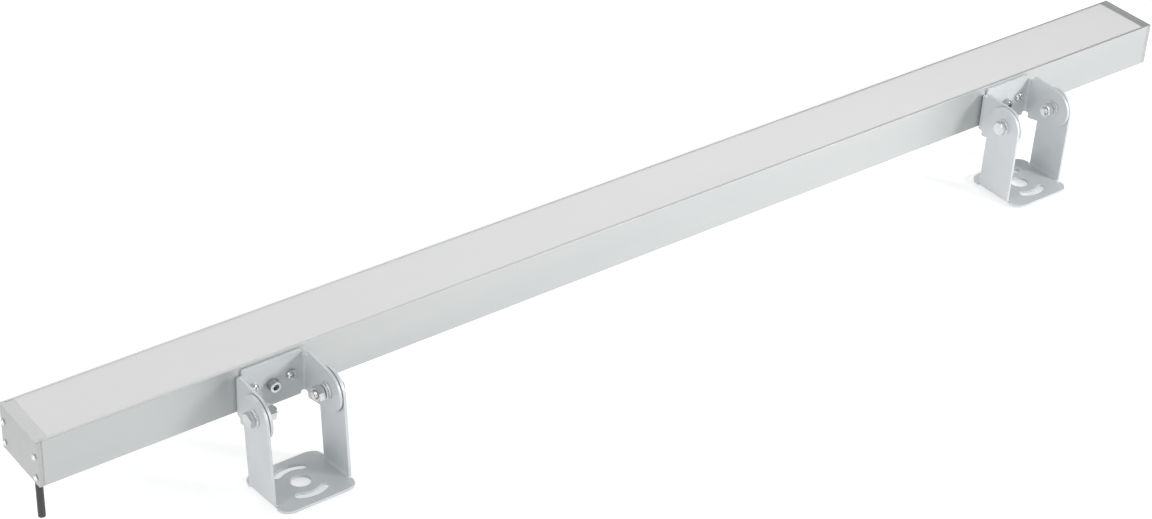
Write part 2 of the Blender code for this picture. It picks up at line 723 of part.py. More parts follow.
def led_board_mesh():
    """A board with its chips in one row, from zero along +X."""
    length = board_length()
    board = box((0, -BOARD_HALF_WIDTH, 0), (length, BOARD_HALF_WIDTH, BOARD_THICKNESS))
    count = int(length / CHIP_PITCH)
    first = (length - (count - 1) * CHIP_PITCH) / 2
    chips = []
    for index in range(count):
        x = first + index * CHIP_PITCH
        chips.append(box((x - CHIP_HALF, -CHIP_HALF, BOARD_THICKNESS / 2),
                         (x + CHIP_HALF, CHIP_HALF, BOARD_THICKNESS + CHIP_HEIGHT)))
    return to_mesh(combined(board, [gathered(chips)], "UNION"), "led_board")


def board_length():
    return HALF_LENGTH - CAP_PLATE - CAP_LAND - 2 * BOARD_END_GAP


def driver_mesh():
    half = [(DRIVER_HALF_WIDTH, 0, DRIVER_CORNER), (DRIVER_HALF_WIDTH, DRIVER_HEIGHT, DRIVER_CORNER)]
    return to_mesh(prism([rounded(both_sides(half))], 0, DRIVER_LENGTH, ALONG_X), "driver")


def terminal_mesh():
    """A stepped block, lower where the cores go in."""
    step = TERMINAL_HEIGHT - TERMINAL_STEP
    outline = [(0, 0), (TERMINAL_LENGTH, 0), (TERMINAL_LENGTH, TERMINAL_HEIGHT),
               (TERMINAL_STEP, TERMINAL_HEIGHT), (TERMINAL_STEP, step), (0, step)]
    body = prism([outline], -TERMINAL_HALF_WIDTH, TERMINAL_HALF_WIDTH, ALONG_Y)
    return to_mesh(body, "supply_terminal")


def gland_body_mesh():
    """Flange under the floor, drawn downwards, and the thread that passes through the floor."""
    thread_top = FLOOR + GLAND_THREAD_ABOVE_FLOOR + SEAT
    face = GLAND_FLAT * HEX_FACE_SHARE
    rings = [ring(CABLE_BORE, -GLAND_FLANGE, HEX_SIDES), ring(face, -GLAND_FLANGE, HEX_SIDES),
             hex_ring(GLAND_FLAT, GLAND_CHAMFER - GLAND_FLANGE, HEX_SIDES),
             hex_ring(GLAND_FLAT, 0, HEX_SIDES), ring(GLAND_THREAD_RADIUS, 0, HEX_SIDES),
             ring(GLAND_THREAD_RADIUS, thread_top, HEX_SIDES), ring(CABLE_BORE, thread_top, HEX_SIDES)]
    return to_mesh(lofted(rings, closed=True), "gland_body")


def gland_nut_mesh():
    """Hexagon and dome, drawn downwards, narrowing to the mouth round the cable."""
    mouth = CABLE_BORE + GLAND_MOUTH_WALL
    low = -GLAND_NUT_HEX - GLAND_NUT_DOME
    rings = [ring(CABLE_BORE, 0, HEX_SIDES), ring(GLAND_FLAT * HEX_FACE_SHARE, 0, HEX_SIDES),
             hex_ring(GLAND_FLAT, -GLAND_CHAMFER, HEX_SIDES),
             hex_ring(GLAND_FLAT, -GLAND_NUT_HEX, HEX_SIDES)]
    for out, down in GLAND_DOME_SHARES:
        rings.append(ring(GLAND_FLAT * out, -GLAND_NUT_HEX - GLAND_NUT_DOME * down, HEX_SIDES))
    rings += [ring(mouth, low, HEX_SIDES), ring(CABLE_BORE, low, HEX_SIDES)]
    return to_mesh(lofted(rings, closed=True), "gland_nut")


def tube(name, points, radii, look, parent):
    """A round cord on a curve, with a radius for each of its points."""
    curve = bpy.data.curves.new(name, "CURVE")
    curve.dimensions = "3D"
    curve.bevel_depth = max(radii)
    curve.bevel_resolution = TUBE_STEPS
    curve.use_fill_caps = True
    spline = curve.splines.new("POLY")
    spline.points.add(len(points) - 1)
    for spot, point, radius in zip(spline.points, points, radii):
        spot.co = (*point, 1)
        spot.radius = radius / max(radii)
    curve.materials.append(look)
    piece = bpy.data.objects.new(name, curve)
    bpy.context.scene.collection.objects.link(piece)
    piece.parent = parent
    return piece


def inner_lead(looks, lamp):
    """The sheath inside the gland, then the bared cores that bend over to the terminal."""
    x = CABLE_INSET - HALF_LENGTH
    bottom = FIT - GLAND_DEPTH
    sheath_top = FLOOR + GLAND_THREAD_ABOVE_FLOOR + SEAT
    terminal_face = TERMINAL_START - HALF_LENGTH
    core_height = sheath_top + FIT + CORE_BEND
    points = [(x, HALF_WIDTH, bottom), (x, HALF_WIDTH, 0), (x, HALF_WIDTH, sheath_top)]
    radii = [CABLE_RADIUS] * len(points)
    bend = arc((x + CORE_BEND, sheath_top + FIT), CORE_BEND, math.pi, math.pi / 2, CORE_STEPS)
    points += [(across, HALF_WIDTH, height) for across, height in bend]
    points.append((terminal_face - FIT, HALF_WIDTH, core_height))
    radii += [CORE_RADIUS] * (len(points) - len(radii))
    tube("inner_lead", points, radii, looks["cable"], lamp)


def free_cable(looks, lamp):
    """The cable below the gland, hanging straight, with its cut end in the open."""
    x = CABLE_INSET - HALF_LENGTH
    top = -GLAND_DEPTH
    points = []
    for step in range(CABLE_STEPS + 1):
        points.append((x, HALF_WIDTH, top - CABLE_FREE_LENGTH * step / CABLE_STEPS))
    tube("cable", points, [CABLE_RADIUS] * len(points), looks["cable"], lamp)


# Assembly

def add_profile(looks, lamp):
    place("housing", housing_mesh(), looks["profile"], lamp)
    place("diffuser", cover_mesh(), looks["opal"], lamp)
    cap = end_cap_mesh()
    gasket = gasket_mesh()
    screw = cap_screw_mesh()
    inner = HALF_LENGTH - CAP_PLATE - SEAT
    outer = HALF_LENGTH + SEAT
    for side, word, back, spin, turn in ((-1, "left", 0, 0, TO_LEFT),
                                         (1, "right", LAMP_WIDTH, math.pi, TO_RIGHT)):
        place("end_cap_" + word, cap, looks["profile"], lamp, (side * HALF_LENGTH, back, 0), (0, 0, spin))
        place("end_gasket_" + word, gasket, looks["gasket"], lamp, (side * inner, back, 0), (0, 0, spin))
        for number, (across, height) in enumerate(port_centres()):
            place("cap_screw_%s_%d" % (word, number + 1), screw, looks["screw"], lamp,
                  (side * outer, HALF_WIDTH + across, height), turn)


def add_inside(looks, lamp):
    board = led_board_mesh()
    far = CAP_PLATE + CAP_LAND + BOARD_END_GAP - HALF_LENGTH
    for word, x in (("left", far), ("right", BOARD_END_GAP)):
        place("led_board_" + word, board, looks["board"], lamp, (x, HALF_WIDTH, WEB_TOP + SEAT))
    on_floor = FLOOR + SEAT
    place("driver", driver_mesh(), looks["driver"], lamp, (DRIVER_START - HALF_LENGTH, HALF_WIDTH, on_floor))
    place("supply_terminal", terminal_mesh(), looks["terminal"], lamp,
          (TERMINAL_START - HALF_LENGTH, HALF_WIDTH, on_floor))
    inner_lead(looks, lamp)


def add_gland(looks, lamp):
    x = CABLE_INSET - HALF_LENGTH
    place("gland_body", gland_body_mesh(), looks["gland"], lamp, (x, HALF_WIDTH, -SEAT))
    place("gland_nut", gland_nut_mesh(), looks["gland"], lamp, (x, HALF_WIDTH, -GLAND_FLANGE - 2 * SEAT))
    lock_nut = to_mesh(hex_nut(GLAND_FLAT, GLAND_THREAD_RADIUS + FIT, GLAND_LOCK_NUT), "gland_lock_nut")
    place("gland_lock_nut", lock_nut, looks["gland"], lamp, (x, HALF_WIDTH, FLOOR + SEAT))
    free_cable(looks, lamp)


def add_yoke(word, x, meshes, looks, lamp):
    place("yoke_" + word, meshes["yoke"], looks["bracket"], lamp, (x, 0, 0))
    place("nut_plate_" + word, meshes["nut_plate"], looks["screw"], lamp, (x, SIDE_WALL + SEAT, 0))
    head = -SHEET - 2 * SEAT
    place("socket_screw_" + word, meshes["socket_screw"], looks["screw"], lamp,
          (x, head, MIDDLE_SCREW_HEIGHT), TO_FRONT)
    for number, offset in ((1, -YOKE_SCREW_OFFSET), (2, YOKE_SCREW_OFFSET)):
        place("pan_screw_%s_%d" % (word, number), meshes["pan_screw"], looks["screw"], lamp,
              (x + offset, head, PIVOT_HEIGHT), TO_FRONT)


def pivot_stack():
    """Each piece on a pivot, with its distance out from the bracket's middle."""
    inner_washer = EAR_INNER - SEAT - WASHER
    spring = inner_washer - SEAT - SPRING_WASHER - SPRING_WASHER_RISE
    return (("pivot_bolt", ARM_OUTER + 2 * SEAT + WASHER), ("outer_washer", ARM_OUTER + SEAT),
            ("friction_washer", YOKE_HALF_WIDTH + SEAT), ("inner_washer", inner_washer),
            ("spring_washer", spring), ("pivot_nut", spring - SEAT - NUT_HEIGHT))


def add_pivots(word, x, meshes, looks, lamp):
    for number, side, turn in ((1, -1, TO_LEFT), (2, 1, TO_RIGHT)):
        for name, out in pivot_stack():
            look = looks["friction"] if name == "friction_washer" else looks["screw"]
            place("%s_%s_%d" % (name, word, number), meshes[name], look, lamp,
                  (x + side * out, -PIVOT_OUT, PIVOT_HEIGHT), turn)


def bracket_meshes():
    return {
        "yoke": yoke_mesh(),
        "foot_bracket": foot_bracket_mesh(),
        "nut_plate": nut_plate_mesh(),
        "pan_screw": pan_screw_mesh(),
        "socket_screw": socket_screw_mesh(),
        "pivot_bolt": pivot_bolt_mesh(),
        "pivot_nut": to_mesh(hex_nut(BOLT_FLAT, PIVOT_HOLE, NUT_HEIGHT), "pivot_nut"),
        "outer_washer": to_mesh(washer_body(WASHER_RADIUS, PIVOT_HOLE, WASHER), "outer_washer"),
        "inner_washer": to_mesh(washer_body(WASHER_RADIUS, PIVOT_HOLE, WASHER), "inner_washer"),
        "friction_washer": to_mesh(washer_body(FRICTION_WASHER_RADIUS, PIVOT_HOLE, FRICTION_WASHER),
                                   "friction_washer"),
        "spring_washer": spring_washer_mesh(),
    }


def all_looks():
    return {
        "profile": material("anodised aluminium", (0.72, 0.74, 0.74), 0.42, 0.6),
        "opal": material("opal cover", (0.80, 0.80, 0.80), 0.45, 0),
        "gasket": material("silicone gasket", (0.62, 0.63, 0.63), 0.7, 0),
        "bracket": material("silver coat", (0.60, 0.62, 0.63), 0.38, 0.5),
        "screw": material("zinc plated steel", (0.75, 0.76, 0.78), 0.22, 1),
        "friction": material("nylon washer", (0.60, 0.60, 0.59), 0.6, 0),
        "board": material("white board", (0.85, 0.86, 0.84), 0.5, 0),
        "driver": material("driver case", (0.80, 0.80, 0.78), 0.5, 0),
        "terminal": material("terminal block", (0.70, 0.70, 0.66), 0.5, 0),
        "gland": material("gland nylon", (0.06, 0.06, 0.065), 0.55, 0),
        "cable": material("cable sheath", (0.06, 0.06, 0.065), 0.5, 0),
    }


def main():
    clear_scene()
    looks = all_looks()
    meshes = bracket_meshes()
    tilt = Matrix.Rotation(-RIGHT_FOOT_LEAN, 3, "X")
    right_pivot = -(tilt @ Vector((BASE_POINT_OFFSET, 0, -PIVOT_TO_BASE)))
    right_axis = axis_empty("right_pivot_axis", None, right_pivot)
    lamp = axis_empty("lamp", right_axis, (-BRACKET_X, PIVOT_OUT, -PIVOT_HEIGHT))
    left_axis = axis_empty("left_pivot_axis", lamp, (-BRACKET_X, -PIVOT_OUT, PIVOT_HEIGHT), LEFT_FOOT_LEAN)
    add_profile(looks, lamp)
    add_inside(looks, lamp)
    add_gland(looks, lamp)
    for word, x in (("left", -BRACKET_X), ("right", BRACKET_X)):
        add_yoke(word, x, meshes, looks, lamp)
        add_pivots(word, x, meshes, looks, lamp)
    place("foot_bracket_left", meshes["foot_bracket"], looks["bracket"], left_axis)
    place("foot_bracket_right", meshes["foot_bracket"], looks["bracket"], None, right_pivot,
          (-RIGHT_FOOT_LEAN, 0, 0))


main()
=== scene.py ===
import math

import bmesh
import bpy
from mathutils import Matrix, Vector


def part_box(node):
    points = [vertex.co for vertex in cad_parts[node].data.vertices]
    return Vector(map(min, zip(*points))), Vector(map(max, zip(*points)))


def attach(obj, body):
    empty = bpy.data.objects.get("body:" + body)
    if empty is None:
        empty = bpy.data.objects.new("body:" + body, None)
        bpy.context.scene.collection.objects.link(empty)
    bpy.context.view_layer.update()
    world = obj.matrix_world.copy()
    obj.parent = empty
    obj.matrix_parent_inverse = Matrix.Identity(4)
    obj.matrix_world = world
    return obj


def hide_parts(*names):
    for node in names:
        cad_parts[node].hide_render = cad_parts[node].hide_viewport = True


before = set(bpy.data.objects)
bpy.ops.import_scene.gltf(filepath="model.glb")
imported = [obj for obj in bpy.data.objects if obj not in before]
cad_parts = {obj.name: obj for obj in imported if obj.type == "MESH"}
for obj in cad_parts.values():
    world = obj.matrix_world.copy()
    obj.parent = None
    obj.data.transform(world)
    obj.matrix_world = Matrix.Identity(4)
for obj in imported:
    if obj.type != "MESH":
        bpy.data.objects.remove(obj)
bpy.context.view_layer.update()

# Finish, fasteners, cable, stage and light for a slim straight lamp on two swivel brackets
# Lengths are in metres and angles in degrees

# Camera, fitted to the photograph's outline
LENS_MM = 78.8
SENSOR_MM = 36
CLIP_NEAR = 0.05
CLIP_FAR = 50
CAMERA_PLACE = Vector((-1.3530, -1.1125, 1.0481))
CAMERA_RIGHT = Vector((0.7990, -0.5996, 0.0471))
CAMERA_FORWARD = Vector((0.5191, 0.6479, -0.5575))

# Cable, as in part.py, with its cut end
CABLE_EXIT = Vector((-0.8409, 0.0546, 0.0363))
CABLE_LENGTH = 0.0339
CABLE_RADIUS = 0.00255
CABLE_POINTS = 24
SHEATH_WALL = 0.0007
CUT_RECESS = 0.0007
CORE_RADIUS = 0.00082
CORE_CIRCLE = 0.00098
CORE_PROUD = 0.0004
CORE_LOOKS = ("core_brown", "core_blue", "core_green")
WIRE_RADIUS = 0.00042
WIRE_PROUD = 0.0006

# Rubber seal that closes the gland's mouth round the cable
SEAL_GAP = 0.00002
SEAL_WALL = 0.00014
SEAL_ABOVE_EXIT = 0.0008
SEAL_BELOW_EXIT = 0.0004

# Silicone bead in the clearance round the cover
COVER_CLEARANCE = 0.0003
BEAD_SLIT = 0.00003
BEAD_DEPTH = 0.0008
BEAD_BELOW_TOP = 0.00015

# Cap screws and pan head screws
CAP_HEAD_RADIUS = 0.0021
CAP_HEAD = 0.0012
CAP_RECESS_REACH = 0.0012
CAP_RECESS_HALF_WIDTH = 0.00030
CAP_RECESS_DEPTH = 0.0008
PAN_HEAD_RADIUS = 0.0040
PAN_HEAD = 0.0026
PAN_RECESS_REACH = 0.0022
PAN_RECESS_HALF_WIDTH = 0.00055
PAN_RECESS_DEPTH = 0.0016
STUB_LENGTH = 0.0020

# Socket head screws
SOCKET_HEAD_RADIUS = 0.00425
SOCKET_HEAD = 0.0050
SOCKET_FLAT = 0.0020
SOCKET_DEPTH = 0.0027
KNURL_DEPTH = 0.00012
KNURL_MARGIN = 0.0005

# Pivot bolts, their nuts and washers
BOLT_FLAT = 0.0050
BOLT_HEAD = 0.0040
BOLT_RADIUS = 0.0030
HEX_CORNERS = 6
HEX_CHAMFER_ANGLE = 30
THREAD_PITCH = 0.0010
THREAD_DEPTH = 0.00045
THREADED_LENGTH = 0.0060
NUT_BORE = 0.0033
WASHER_RADIUS = 0.0060
WASHER_ROUNDING = 0.00035
WASHER_SHOULDER = 0.00010

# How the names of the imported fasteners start
FASTENERS = ("cap_screw", "pan_screw", "socket_screw", "pivot_bolt", "pivot_nut",
             "outer_washer", "inner_washer")

# Screws, bolts and nuts are turned on their axis by this step for each node's place in the list of names,
# within a quarter turn
TURN_STEP = 37
TURN_LIMIT = 90

# Edges: how far they are broken or rounded, and the angle from which an edge counts as sharp
EDGE_BREAK = 0.00025
SHEET_EDGE = 0.00020
PROFILE_EDGE = 0.00018
CAP_EDGE = 0.00032
COVER_EDGE = 0.00015
SMALL_EDGE = 0.00020
WASHER_EDGE = 0.000125
EDGE_SEGMENTS = 2
SHARP_EDGE_ANGLE = 35
FLAT_ANGLE = 0.2
SAME_POINT = 0.000002
FACE_WEIGHT = 100

# Shading is smooth across edges below these angles
SMOOTH_ANGLE = 40
SHEATH_SMOOTH_ANGLE = 60
FASTENER_SMOOTH_ANGLE = 25

# Facets
ROUND_SIDES = 48
KNURL_SIDES = 72
RECESS_SIDES = 48
DOME_STEPS = 7
THREAD_STEPS = 8
CABLE_SIDES = 32
CORE_SIDES = 20

# Shares of a piece's own size
STUB_RADIUS_SHARE = 0.50
DOME_START_SHARE = 0.25
DOME_TOP_SHARE = 0.58
HEX_FACE_SHARE = 0.95
RECESS_FLOOR_SHARE = 0.40

# Noise: the part of its range that is used, its octaves, and how rough each octave is
NOISE_LOW = 0.3
NOISE_HIGH = 0.7
DRIFT_DETAIL = 3.0
DRIFT_ROUGHNESS = 0.5
GRAIN_DETAIL = 4.0
GRAIN_ROUGHNESS = 0.6
RELIEF_DEPTH = 0.00002
COAT_RELIEF_DEPTH = 0.00003

# Looks: the name, the two colours that it drifts between, the roughness from and to, the metallic share,
# the colour patches and the grains in a metre, along each axis or alike on all three, the relief's
# strength, and its depth where that isn't RELIEF_DEPTH
LOOKS = {
    "profile": ("anodised profile", (0.59, 0.61, 0.61), (0.62, 0.635, 0.63), (0.36, 0.48), 0.75,
                (3, 40, 40), (12, 2600, 2600), 0.20),
    # The cap's colour is darker than the profile's: painted shade for its end faces, which get less light
    "cap": ("blasted end cap", (0.52, 0.53, 0.525), (0.545, 0.555, 0.55), (0.34, 0.45), 0.75,
            40, 2600, 0.25),
    # Painted highlight: a lighter copy of the aluminium on the rounded edges of the profile and the end caps
    "edge_painted_highlight": ("profile, painted edge highlight", (0.78, 0.79, 0.785), (0.84, 0.845, 0.84), (0.30, 0.42), 0.75,
                  300, 2000, 0.2),
    "opal": ("opal cover", (0.815, 0.815, 0.815), (0.83, 0.83, 0.83), (0.34, 0.42), 0.0,
             (4, 30, 30), (60, 900, 900), 0.08),
    "gasket": ("silicone", (0.76, 0.77, 0.77), (0.81, 0.82, 0.82), (0.6, 0.75), 0.0,
               150, 1500, 0.3),
    "coat": ("silver coat", (0.655, 0.68, 0.70), (0.685, 0.71, 0.725), (0.44, 0.54), 0.35,
             45, 1400, 0.22, COAT_RELIEF_DEPTH),
    "coat_edge": ("silver coat, worn edge", (0.70, 0.72, 0.735), (0.76, 0.775, 0.79), (0.36, 0.48), 0.45,
                  300, 2000, 0.25),
    "zinc": ("zinc plating", (0.66, 0.68, 0.72), (0.74, 0.735, 0.71), (0.13, 0.23), 1.0,
             220, 1800, 0.18),
    "zinc_edge": ("zinc plating, worn edge", (0.74, 0.75, 0.77), (0.80, 0.80, 0.79), (0.12, 0.22), 1.0,
                  300, 1800, 0.18),
    # Painted light: a lighter, rougher copy of the zinc plating, so that washers and cap screws read bright
    # where they sit in shade
    "zinc_painted_light": ("zinc plating, rougher, lightened as painted light", (0.86, 0.865, 0.875), (0.90, 0.90, 0.89), (0.25, 0.36), 0.85,
                  260, 1800, 0.2),
    # Painted shade: a darker copy of the zinc plating for the socket screw's knurled side and socket
    "zinc_painted_shade": ("zinc plating, painted shade on the knurl and socket", (0.40, 0.41, 0.43), (0.50, 0.50, 0.50), (0.30, 0.42), 1.0,
                  400, 1800, 0.3),
    "nylon": ("nylon washer", (0.56, 0.56, 0.55), (0.61, 0.61, 0.60), (0.5, 0.62), 0.0,
              200, 1500, 0.3),
    "gland": ("gland nylon", (0.045, 0.045, 0.05), (0.06, 0.06, 0.065), (0.42, 0.58), 0.0,
              120, 1600, 0.3),
    "sheath": ("cable sheath", (0.045, 0.045, 0.048), (0.065, 0.065, 0.068), (0.36, 0.50), 0.0,
               (300, 300, 20), (1500, 1500, 200), 0.35),
    "core_brown": ("core insulation, brown", (0.16, 0.06, 0.025), (0.20, 0.08, 0.035), (0.4, 0.5), 0.0,
                   800, 3000, 0.2),
    "core_blue": ("core insulation, blue", (0.02, 0.08, 0.30), (0.03, 0.10, 0.36), (0.4, 0.5), 0.0,
                  800, 3000, 0.2),
    "core_green": ("core insulation, green", (0.05, 0.28, 0.05), (0.08, 0.34, 0.06), (0.4, 0.5), 0.0,
                   800, 3000, 0.2),
    "copper": ("copper strands", (0.80, 0.42, 0.26), (0.86, 0.50, 0.34), (0.24, 0.36), 1.0,
               2500, 6000, 0.5),
    "board": ("white board", (0.82, 0.83, 0.81), (0.86, 0.87, 0.85), (0.4, 0.5), 0.0,
              60, 1500, 0.15),
    "driver": ("driver case", (0.76, 0.76, 0.74), (0.80, 0.80, 0.78), (0.45, 0.6), 0.0,
               60, 900, 0.25),
    "terminal": ("terminal block", (0.66, 0.66, 0.62), (0.70, 0.70, 0.66), (0.4, 0.55), 0.0,
                 90, 1200, 0.25),
}
OPAL_SUBSURFACE_SHARE = 0.25
OPAL_SUBSURFACE_REACH = 0.004
OPAL_IOR = 1.49

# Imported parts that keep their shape: how their names start, their look, their edges' look, and how far
# their edges are rounded, or zero where they stay as they are
PACKED_PARTS = (
    # The rounded edges of the profile and the caps get a painted highlight
    ("housing", "profile", "edge_painted_highlight", PROFILE_EDGE),
    ("end_cap", "cap", "edge_painted_highlight", CAP_EDGE),
    ("diffuser", "opal", "opal", COVER_EDGE),
    ("end_gasket", "gasket", "gasket", 0),
    ("yoke", "coat", "coat_edge", SHEET_EDGE),
    ("foot_bracket", "coat", "coat_edge", SHEET_EDGE),
    ("nut_plate", "zinc", "zinc_edge", SMALL_EDGE),
    ("led_board", "board", "board", 0),
    ("driver", "driver", "driver", SMALL_EDGE),
    ("supply_terminal", "terminal", "terminal", SMALL_EDGE),
    ("inner_lead", "sheath", "sheath", 0),
    ("gland", "gland", "gland", SMALL_EDGE),
    ("friction_washer", "nylon", "nylon", WASHER_EDGE),
    # Spring washers take the lighter zinc, which is painted light
    ("spring_washer", "zinc_painted_light", "zinc_painted_light", WASHER_EDGE),
)

# Stage
FLOOR_HEIGHT = -0.0027
FLOOR_HALF = 6.0
FLOOR_LIFT = 0.50
FLOOR_MIRROR_SHARE = 0.74
FLOOR_PAINT = (0.80, 0.80, 0.80, 1)
WHITE = (1, 1, 1, 1)

# The room's glows: towards which side, the cosine where each starts and where it is full, and its strength
GLOWS = (
    ((-0.79, -0.61, 0), -0.95, -0.20, 0.17),
    ((0, 0, 1), 0.30, 1.00, 0.30),
    ((-0.95, -0.30, 0), 0.40, 1.00, 1.15),
    ((0.20, 0.76, 0.62), 0.775, 1.00, 1.33),
)

# Lamps: name, place, target, width, watts and spread
LAMPS = (
    ("key", (0.65, -1.50, 0.75), (-0.25, 0, 0.05), 0.50, 4.4, 70),
    ("fill", (-2.40, -0.20, 0.90), (-0.40, 0, 0.05), 1.20, 7.5, 180),
)


# Camera

def make_camera():
    """The photograph's view; the named right side is squared up to the named direction."""
    data = bpy.data.cameras.new("camera")
    data.sensor_width = SENSOR_MM
    data.lens = LENS_MM
    data.clip_start = CLIP_NEAR
    data.clip_end = CLIP_FAR
    camera = bpy.data.objects.new("camera", data)
    bpy.context.scene.collection.objects.link(camera)
    back = -CAMERA_FORWARD.normalized()
    right = (CAMERA_RIGHT - CAMERA_RIGHT.dot(back) * back).normalized()
    up = back.cross(right)
    turn = Matrix((right, up, back)).transposed().to_4x4()
    camera.matrix_world = Matrix.Translation(CAMERA_PLACE) @ turn
    bpy.context.scene.camera = camera


# Rows of points, and the skins over them

def polar(radius, angle, height):
    return (radius * math.cos(angle), radius * math.sin(angle), height)


def ring(radius, height, sides):
    return [polar(radius, math.tau * index / sides, height) for index in range(sides)]


def turned(outline, sides):
    """The rings of an outline whose points are a radius and a height."""
    return [ring(radius, height, sides) for radius, height in outline]


def skin(rows, closed=False):
    """A skin over rows of equal count, capped at both ends or closed on itself."""
    body = bmesh.new()
    lines = [[body.verts.new(point) for point in row] for row in rows]
    pairs = list(zip(lines, lines[1:]))
    if closed:
        pairs.append((lines[-1], lines[0]))
    for lower, upper in pairs:
        for index in range(len(lower)):
            after = (index + 1) % len(lower)
            body.faces.new((lower[index], lower[after], upper[after], upper[index]))
    if not closed:
        body.faces.new(lines[0])
        body.faces.new(lines[-1])
    bmesh.ops.recalc_face_normals(body, faces=body.faces)
    return body


def to_object(name, body, look, smooth_angle=SMOOTH_ANGLE):
    mesh = bpy.data.meshes.new(name)
    body.to_mesh(mesh)
    body.free()
    mesh.materials.append(look)
    mesh.shade_smooth()
    mesh.set_sharp_from_angle(angle=math.radians(smooth_angle))
    piece = bpy.data.objects.new(name, mesh)
    bpy.context.scene.collection.objects.link(piece)
    return piece


# Cable and the thin trims

def make_core(name, place, radius, proud, look):
    """The end of a core or of its strands, which stands out of the recess in the sheath's cut."""
    recess = CUT_RECESS - CABLE_LENGTH
    body = skin(turned(((radius, recess + CORE_PROUD), (radius, recess - proud)), CORE_SIDES))
    body.transform(Matrix.Translation(place))
    piece = to_object(name, body, look)
    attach(piece, "lamp")
    return piece


def make_cable(looks):
    """The hanging sheath with its cut end, and the three cores that show in the cut."""
    path = []
    for step in range(CABLE_POINTS):
        path.append(CABLE_EXIT - Vector((0, 0, CABLE_LENGTH * step / (CABLE_POINTS - 1))))
    inner = CABLE_RADIUS - SHEATH_WALL
    outline = [(CABLE_RADIUS, point.z - CABLE_EXIT.z) for point in path]
    outline += [(inner, -CABLE_LENGTH), (inner, CUT_RECESS - CABLE_LENGTH)]
    body = skin(turned(outline, CABLE_SIDES))
    body.transform(Matrix.Translation(CABLE_EXIT))
    sheath = to_object("cable_sheath", body, looks["sheath"], SHEATH_SMOOTH_ANGLE)
    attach(sheath, "lamp")
    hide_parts("cable")
    for index, look in enumerate(CORE_LOOKS):
        place = CABLE_EXIT + Vector(polar(CORE_CIRCLE, math.tau * index / len(CORE_LOOKS), 0))
        number = str(index + 1)
        make_core("cable_core_" + number, place, CORE_RADIUS, CORE_PROUD, looks[look])
        make_core("cable_wire_" + number, place, WIRE_RADIUS, WIRE_PROUD, looks["copper"])


def make_seal(looks):
    """A lip in the gland's mouth, so that the cable's start never shows from below."""
    inner = CABLE_RADIUS + SEAL_GAP
    outer = inner + SEAL_WALL
    outline = ((inner, -SEAL_BELOW_EXIT), (inner, SEAL_ABOVE_EXIT),
               (outer, SEAL_ABOVE_EXIT), (outer, -SEAL_BELOW_EXIT))
    body = skin(turned(outline, CABLE_SIDES), closed=True)
    body.transform(Matrix.Translation(CABLE_EXIT))
    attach(to_object("gland_seal", body, looks["gland"]), "lamp")


def rectangle(low, high, grow, height):
    """The corners of the rectangle from low to high, grown by one amount along x and another along y."""
    left, right = low.x - grow[0], high.x + grow[0]
    front, back = low.y - grow[1], high.y + grow[1]
    return [(left, front, height), (right, front, height), (right, back, height), (left, back, height)]


def make_bead(looks):
    """A thin bead all round the cover, in its clearance to the rims and the caps."""
    low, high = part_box("diffuser")
    top = high.z - BEAD_BELOW_TOP
    near = (BEAD_SLIT, BEAD_SLIT)
    far = (low.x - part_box("end_cap_left")[1].x - BEAD_SLIT, COVER_CLEARANCE - BEAD_SLIT)
    rows = [rectangle(low, high, near, top - BEAD_DEPTH), rectangle(low, high, near, top),
            rectangle(low, high, far, top), rectangle(low, high, far, top - BEAD_DEPTH)]
    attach(to_object("cover_bead", skin(rows, closed=True), looks["gasket"]), "lamp")


# Materials

def noise(tree, scale, detail, roughness):
    """Noise on the piece's own coordinates, with a scale for each axis or one for all."""
    place = tree.nodes.new("ShaderNodeTexCoord")
    mapping = tree.nodes.new("ShaderNodeMapping")
    mapping.inputs["Scale"].default_value = scale if isinstance(scale, tuple) else (scale, scale, scale)
    texture = tree.nodes.new("ShaderNodeTexNoise")
    texture.inputs["Scale"].default_value = 1.0
    texture.inputs["Detail"].default_value = detail
    texture.inputs["Roughness"].default_value = roughness
    tree.links.new(place.outputs["Object"], mapping.inputs["Vector"])
    tree.links.new(mapping.outputs["Vector"], texture.inputs["Vector"])
    return texture.outputs["Fac"]


def spread(tree, value, low, high):
    """Turns the noise's middle range into numbers from low to high."""
    node = tree.nodes.new("ShaderNodeMapRange")
    node.inputs["From Min"].default_value = NOISE_LOW
    node.inputs["From Max"].default_value = NOISE_HIGH
    node.inputs["To Min"].default_value = low
    node.inputs["To Max"].default_value = high
    tree.links.new(value, node.inputs["Value"])
    return node.outputs["Result"]


def blend_colours(tree, value, first, second):
    node = tree.nodes.new("ShaderNodeMix")
    node.data_type = "RGBA"
    node.inputs["A"].default_value = (*first, 1)
    node.inputs["B"].default_value = (*second, 1)
    tree.links.new(value, node.inputs["Factor"])
    return node.outputs["Result"]


def bump(tree, height, strength, depth):
    node = tree.nodes.new("ShaderNodeBump")
    node.inputs["Strength"].default_value = strength
    node.inputs["Distance"].default_value = depth
    tree.links.new(height, node.inputs["Height"])
    return node.outputs["Normal"]


def textured(name, first, second, rough, metallic, patches, grains, relief, depth=RELIEF_DEPTH):
    """A look whose colour drifts slowly and whose roughness and relief follow a fine grain."""
    look = bpy.data.materials.new(name)
    look.use_nodes = True
    tree = look.node_tree
    shader = tree.nodes["Principled BSDF"]
    shader.inputs["Base Color"].default_value = (*first, 1)
    shader.inputs["Roughness"].default_value = rough[0]
    shader.inputs["Metallic"].default_value = metallic
    drift = spread(tree, noise(tree, patches, DRIFT_DETAIL, DRIFT_ROUGHNESS), 0, 1)
    grain = noise(tree, grains, GRAIN_DETAIL, GRAIN_ROUGHNESS)
    tree.links.new(blend_colours(tree, drift, first, second), shader.inputs["Base Color"])
    tree.links.new(spread(tree, grain, *rough), shader.inputs["Roughness"])
    tree.links.new(bump(tree, grain, relief, depth), shader.inputs["Normal"])
    return look


